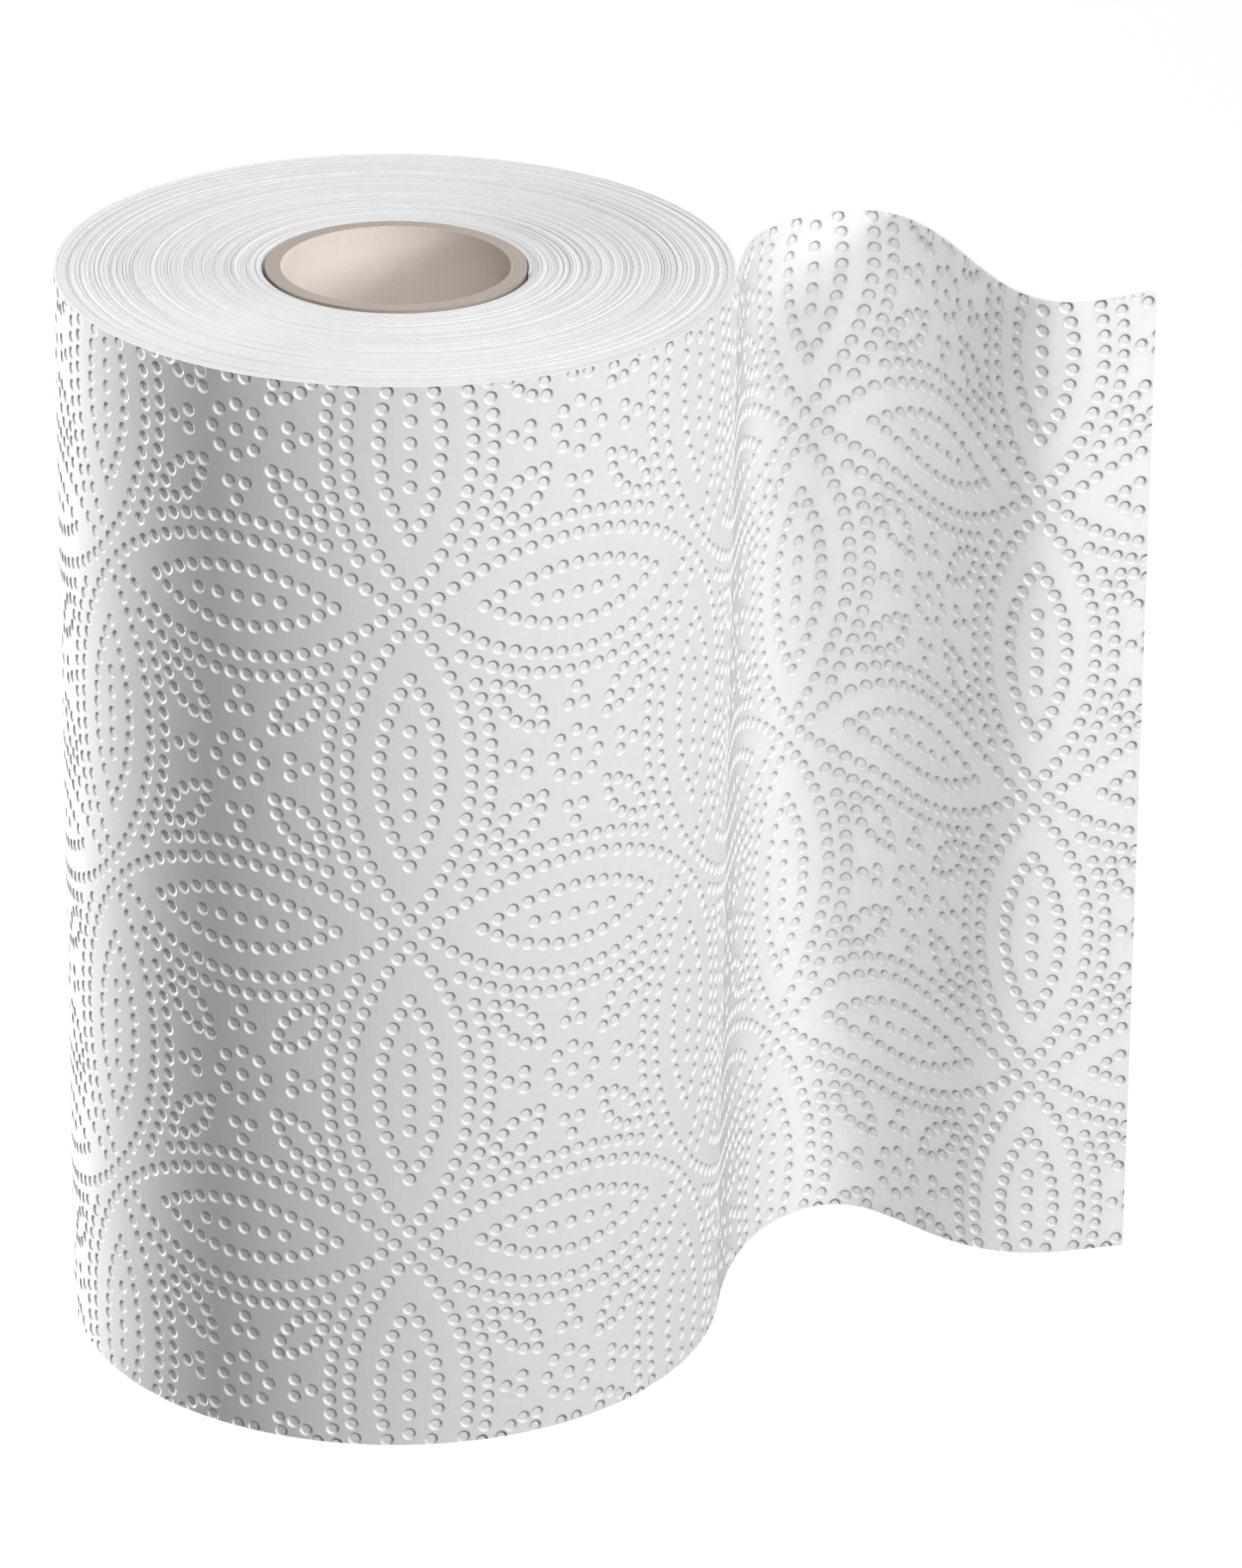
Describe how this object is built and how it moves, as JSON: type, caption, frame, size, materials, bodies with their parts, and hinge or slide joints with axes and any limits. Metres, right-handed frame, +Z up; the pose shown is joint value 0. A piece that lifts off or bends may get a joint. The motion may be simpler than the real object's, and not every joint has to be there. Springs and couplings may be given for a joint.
{
  "type": "paper towel roll",
  "caption": "Wound roll of embossed kitchen paper on an open cardboard core, standing on its end, with the loose end of the sheet led off its side in a wave.",
  "frame": {"origin": "on the core's axis, at the bottom end that the roll stands on", "axes": "+Z up the core, +X towards the loose end's free edge, -Y towards the viewer"},
  "size_m": [0.2147, 0.1303, 0.22],
  "materials": {
    "tissue_paper": "matt white embossed tissue, two plies",
    "core_board": "matt spirally wound pale grey-brown board"
  },
  "bodies": {
    "root": {"paper_roll": "tissue_paper", "core_tube": "core_board"}
  },
  "joints": []
}
